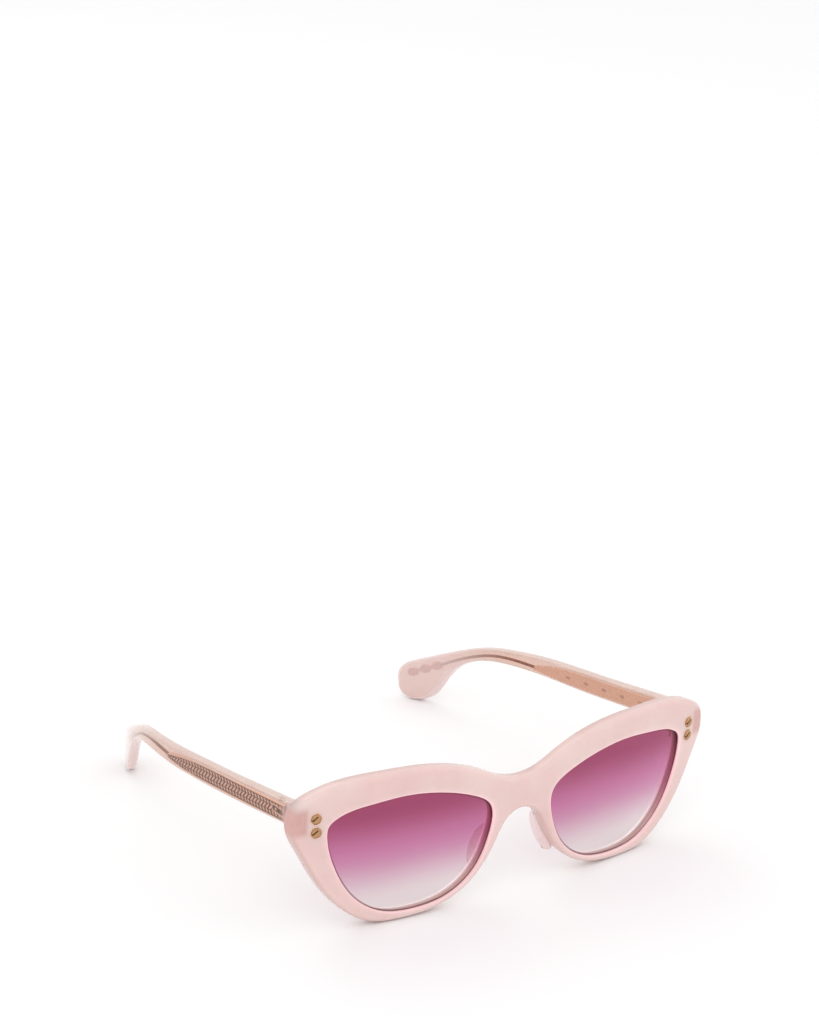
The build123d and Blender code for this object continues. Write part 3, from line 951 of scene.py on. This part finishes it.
class BuildCores(Builder, bpy.types.Operator):
    """Engraved metal plate and wire inside each temple"""

    bl_idname = "sunglasses.cores"
    bl_label = "Cores"

    def execute(self, context):
        settings = context.scene.sunglasses_metal
        rose = plated_metal("rose gold", "rose", settings, 0.2, 2.0)
        dark = plated_metal("wire rose gold", "wire", settings, 0.22, 2.0)
        first, last = PLATE_TOP[0][0], PLATE_TOP[-1][0]
        depths = np.concatenate([
            [first, first + 0.05, first + 0.15], np.arange(first + 0.25, last - 0.1, 0.11), [last]])
        upper, lower = (
            np.interp(depths, line[:, 0], line[:, 1])
            for line in (spline(PLATE_TOP, 200), spline(PLATE_BOTTOM, 200)[::-1]))
        wire = spline(WIRE, 120)
        thick = [(WIRE_RADIUS, WIRE_RADIUS)] * len(wire)
        for name, side in SIDES:
            body = f"temple_{name}_body"
            points, faces, deep = self.engraved(depths, upper, lower, side, settings)
            core = piece(f"core_plate_{name}", points, faces, rose, body)
            # The depth mark carries painted shade into the engraving.
            known = {key(p, 500): value for p, value in zip(points, deep)}
            mark(core, "depth", [known.get(key(vertex.co, 500), 0.0) for vertex in core.data.vertices])
            strand = rod(wire, thick, side, f"core_wire_{name}", dark, body)
            for made in (core, strand):
                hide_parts(f"core_{name}")
        return {"FINISHED"}

    def engraved(self, depths, upper, lower, side, settings):
        """The plate as two grids with a raised rim: chevrons, slot and tab outside, plain ovals inside."""
        across = np.concatenate([[0, 0.012, 0.03], np.linspace(0.05, 0.95, 31), [0.97, 0.988, 1]])
        along, share = np.meshgrid(depths, across, indexing="ij")
        width = (upper - lower)[:, None]
        height = lower[:, None] + share * width
        from_edge = np.minimum(share, 1 - share) * width
        from_end = np.minimum(along - depths[0], depths[-1] - along)
        field = smooth(np.minimum(from_edge, from_end + 0.05), 0.30, 0.44)
        relief = settings.relief / MM

        # chevrons in three bands, with a seam between the bands
        bands_up = share * 3
        zigzag = np.abs((bands_up % 2) - 1)
        lines = np.cos(2 * pi * (along / (settings.chevron_pitch / MM) + zigzag * 0.8))
        seam = 1 - smooth(np.abs(bands_up - np.round(bands_up)) * width / 3, 0.05, 0.16)
        raised = np.clip(0.35 + smooth(lines, -0.35, 0.35) * 0.65 * (1 - seam), 0, 1)

        # a round-ended slot with a tab in it near the hinge, on a plain land
        slot_middle, slot_half, tab_middle = (19.85, 31.75), (2.1, 0.15), (20.9, 31.75)
        beside = np.abs(along - slot_middle[0]) - slot_half[0]
        above = np.abs(height - slot_middle[1]) - slot_half[1]
        reach = np.hypot(np.maximum(beside, 0), np.maximum(above, 0))
        reach = reach + np.minimum(np.maximum(beside, above), 0)
        slot = 1 - smooth(reach, 0.45, 0.58)
        land = 1 - smooth(reach, 0.85, 1.05)
        tab = 1 - smooth(np.hypot((along - tab_middle[0]) / 1.5, height - tab_middle[1]), 0.30, 0.42)
        line = smooth(from_edge, 0.30, 0.36) * (1 - smooth(from_edge, 0.50, 0.58))
        outer = field * (0.35 + 0.65 * (1 - raised)) * relief * (1 - land)
        outer = outer + slot * (1 - tab) * relief * 1.7 + line * relief * 0.6 * (1 - slot)

        # a row of ovals on the inner side
        oval_pitch, oval_length, oval_height, ovals_end = 8, 1.2, 0.55, 66
        over = (height - (lower + upper)[:, None] / 2) / oval_height
        beside = (((along - ovals_end + 5 * oval_pitch) % oval_pitch) - oval_pitch / 2) / oval_length
        oval = 1 - smooth(np.hypot(beside, over), 0.8, 1.0)
        inner = field * (0.3 + 0.5 * oval * (along < ovals_end)) * relief

        edge = np.clip(0.1 - np.minimum(from_edge, along - depths[0]), 0, 0.1)
        rows, columns = along.shape
        size = rows * columns
        place = temple_place(side, TEMPLE_THICKNESS / 2)
        points, deep, faces = [], [], []
        # deep is the mask of painted shade in each face's engraving; gain sets its strength.
        for face, lowered, gain in ((1, outer, 2.3), (-1, inner, 0.8)):
            offset = -face * (CORE_THICKNESS / 2 - lowered - edge)
            points += [place(*spot) for spot in zip(along.ravel(), height.ravel(), offset.ravel())]
            deep += list(np.clip((lowered / relief - 0.36) * gain, 0, 1).ravel())
        for start in (0, size):
            faces += [
                (at, at + 1, at + columns + 1, at + columns)
                for i in range(rows - 1)
                for at in range(start + i * columns, start + (i + 1) * columns - 1)
            ]
        border = list(range(columns)) + [i * columns + columns - 1 for i in range(1, rows)]
        border += [(rows - 1) * columns + j for j in range(columns - 2, -1, -1)]
        border += [i * columns for i in range(rows - 2, 0, -1)]
        faces += [(a, b, b + size, a + size) for a, b in zip(border, border[1:] + border[:1])]
        return points, faces, deep


class BuildTails(Builder, bpy.types.Operator):
    """Three metal beads at the end of each core"""

    bl_idname = "sunglasses.tails"
    bl_label = "Core tails"

    def execute(self, context):
        settings = context.scene.sunglasses_metal
        rose = plated_metal("bead rose gold", "bead", settings, 0.16, 2.0)
        first, last = np.array(BEADS[0]), np.array(BEADS[-1])
        span = np.linalg.norm(last - first)
        steps = np.linspace(-BEAD_RADIUS, span + BEAD_RADIUS, 170)
        path = first + steps[:, None] * (last - first) / span
        sizes = []
        for at in steps:
            off = min(abs(at - centre) for centre in (0.0, span / 2, span)) / (BEAD_RADIUS + 0.02)
            bead = BEAD_RADIUS * (1 - off**3.2) ** (1 / 2.6) if off < 1 else 0.0
            neck = 0.5 if -0.6 < at < span + 0.9 else 0.0
            tall = max(bead, neck, 0.02)
            sizes.append((tall, min(tall, 0.5 + 0.3 * tall / BEAD_RADIUS)))
        for name, side in SIDES:
            tail = rod(path, sizes, side, f"core_beads_{name}", rose, f"temple_{name}_body")
            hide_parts(f"core_tail_{name}")
        return {"FINISHED"}


class BuildStudio(Builder, bpy.types.Operator):
    """Pale floor, soft lights and the camera"""

    bl_idname = "sunglasses.studio"
    bl_label = "Studio"

    def execute(self, context):
        settings = context.scene.sunglasses_studio
        self.add_floor(settings)
        world = bpy.data.worlds.new("studio")
        context.scene.world = world
        world.use_nodes = True
        sky = world.node_tree.nodes["Background"].inputs
        sky["Color"].default_value = WHITE
        sky["Strength"].default_value = 1.0
        for name, place, size, power in (
            ("key", (-0.55, -0.75, 0.9), 0.7, 1.2),
            ("fill", (0.9, -0.5, 0.7), 0.9, 0.6),
            ("rim", (0.1, 0.9, 0.8), 0.6, 0.9),
        ):
            light = bpy.data.lights.new(name, "AREA")
            light.size, light.energy = size, power
            lamp = bpy.data.objects.new(name, light)
            lamp.location = place
            towards = Vector((0, 0, 0.02)) - Vector(place)
            lamp.rotation_euler = towards.to_track_quat("-Z", "Y").to_euler()
            context.collection.objects.link(lamp)
        context.scene.view_settings.view_transform = "Standard"
        self.add_camera(context, settings)
        return {"FINISHED"}

    def add_floor(self, settings):
        """A wide floor under the part."""
        material, start, output = finish_named("pale floor")
        grain = noise(start, place_of(start)[0], 0.3, 4.0)
        darker = tuple(c * 0.995 for c in settings.floor)
        colour = blend(start, grain.step(0.2, 0.8), settings.floor, darker)
        shade(start, Base_Color=colour, Roughness=0.7, Specular_IOR_Level=0.1).surface_of(output)
        mesh = bpy.data.meshes.new("floor")
        reach = 6.0
        corners = [(-reach, -reach, 0), (reach, -reach, 0), (reach, reach, 0), (-reach, reach, 0)]
        mesh.from_pydata(corners, [], [(0, 1, 2, 3)])
        mesh.materials.append(material)
        floor = bpy.data.objects.new("floor", mesh)
        bpy.context.collection.objects.link(floor)

    def add_camera(self, context, settings):
        """The camera from its angles, its distance and where the part's origin appears."""
        azimuth, elevation, roll = settings.azimuth, settings.elevation, settings.roll
        back = Vector((sin(azimuth) * cos(elevation), -cos(azimuth) * cos(elevation), sin(elevation)))
        level = Vector((cos(azimuth), sin(azimuth), 0))
        above = back.cross(level)
        right = level * cos(roll) + above * sin(roll)
        upward = above * cos(roll) - level * sin(roll)
        data = bpy.data.cameras.new("camera")
        data.lens, data.sensor_width, data.clip_start = settings.focal, 36.0, 0.01
        camera = bpy.data.objects.new("camera", data)
        turned = Matrix((right, upward, back)).transposed().to_4x4()
        place = back * settings.distance - right * settings.aim[0] - upward * settings.aim[1]
        camera.matrix_world = Matrix.Translation(place) @ turned
        context.collection.objects.link(camera)
        context.scene.camera = camera


class SunglassesPanel(bpy.types.Panel):
    """Buttons that build the sunglasses"""

    bl_idname = "VIEW3D_PT_sunglasses"
    bl_label = "Cat eye sunglasses"
    bl_space_type = "VIEW_3D"
    bl_region_type = "UI"
    bl_category = "Sunglasses"

    def draw(self, context):
        for operator in OPERATORS:
            self.layout.operator(operator.bl_idname)


SETTINGS = {
    "sunglasses_acetate": AcetateSettings,
    "sunglasses_lens": LensSettings,
    "sunglasses_metal": MetalSettings,
    "sunglasses_studio": StudioSettings,
}
OPERATORS = (
    BuildFront, BuildLenses, BuildPads, BuildRivets, FinishHinges,
    BuildTemples, BuildCores, BuildTails, BuildStudio,
)


def register():
    for made in (*SETTINGS.values(), *OPERATORS, SunglassesPanel):
        bpy.utils.register_class(made)
    for name, group in SETTINGS.items():
        setattr(bpy.types.Scene, name, bpy.props.PointerProperty(type=group))


def unregister():
    for name in SETTINGS:
        delattr(bpy.types.Scene, name)
    for made in (SunglassesPanel, *reversed(OPERATORS), *SETTINGS.values()):
        bpy.utils.unregister_class(made)


def main():
    register()
    for operator in OPERATORS:
        group, name = operator.bl_idname.split(".")
        getattr(getattr(bpy.ops, group), name)()
    bpy.context.view_layer.update()


if __name__ == "__main__":
    main()
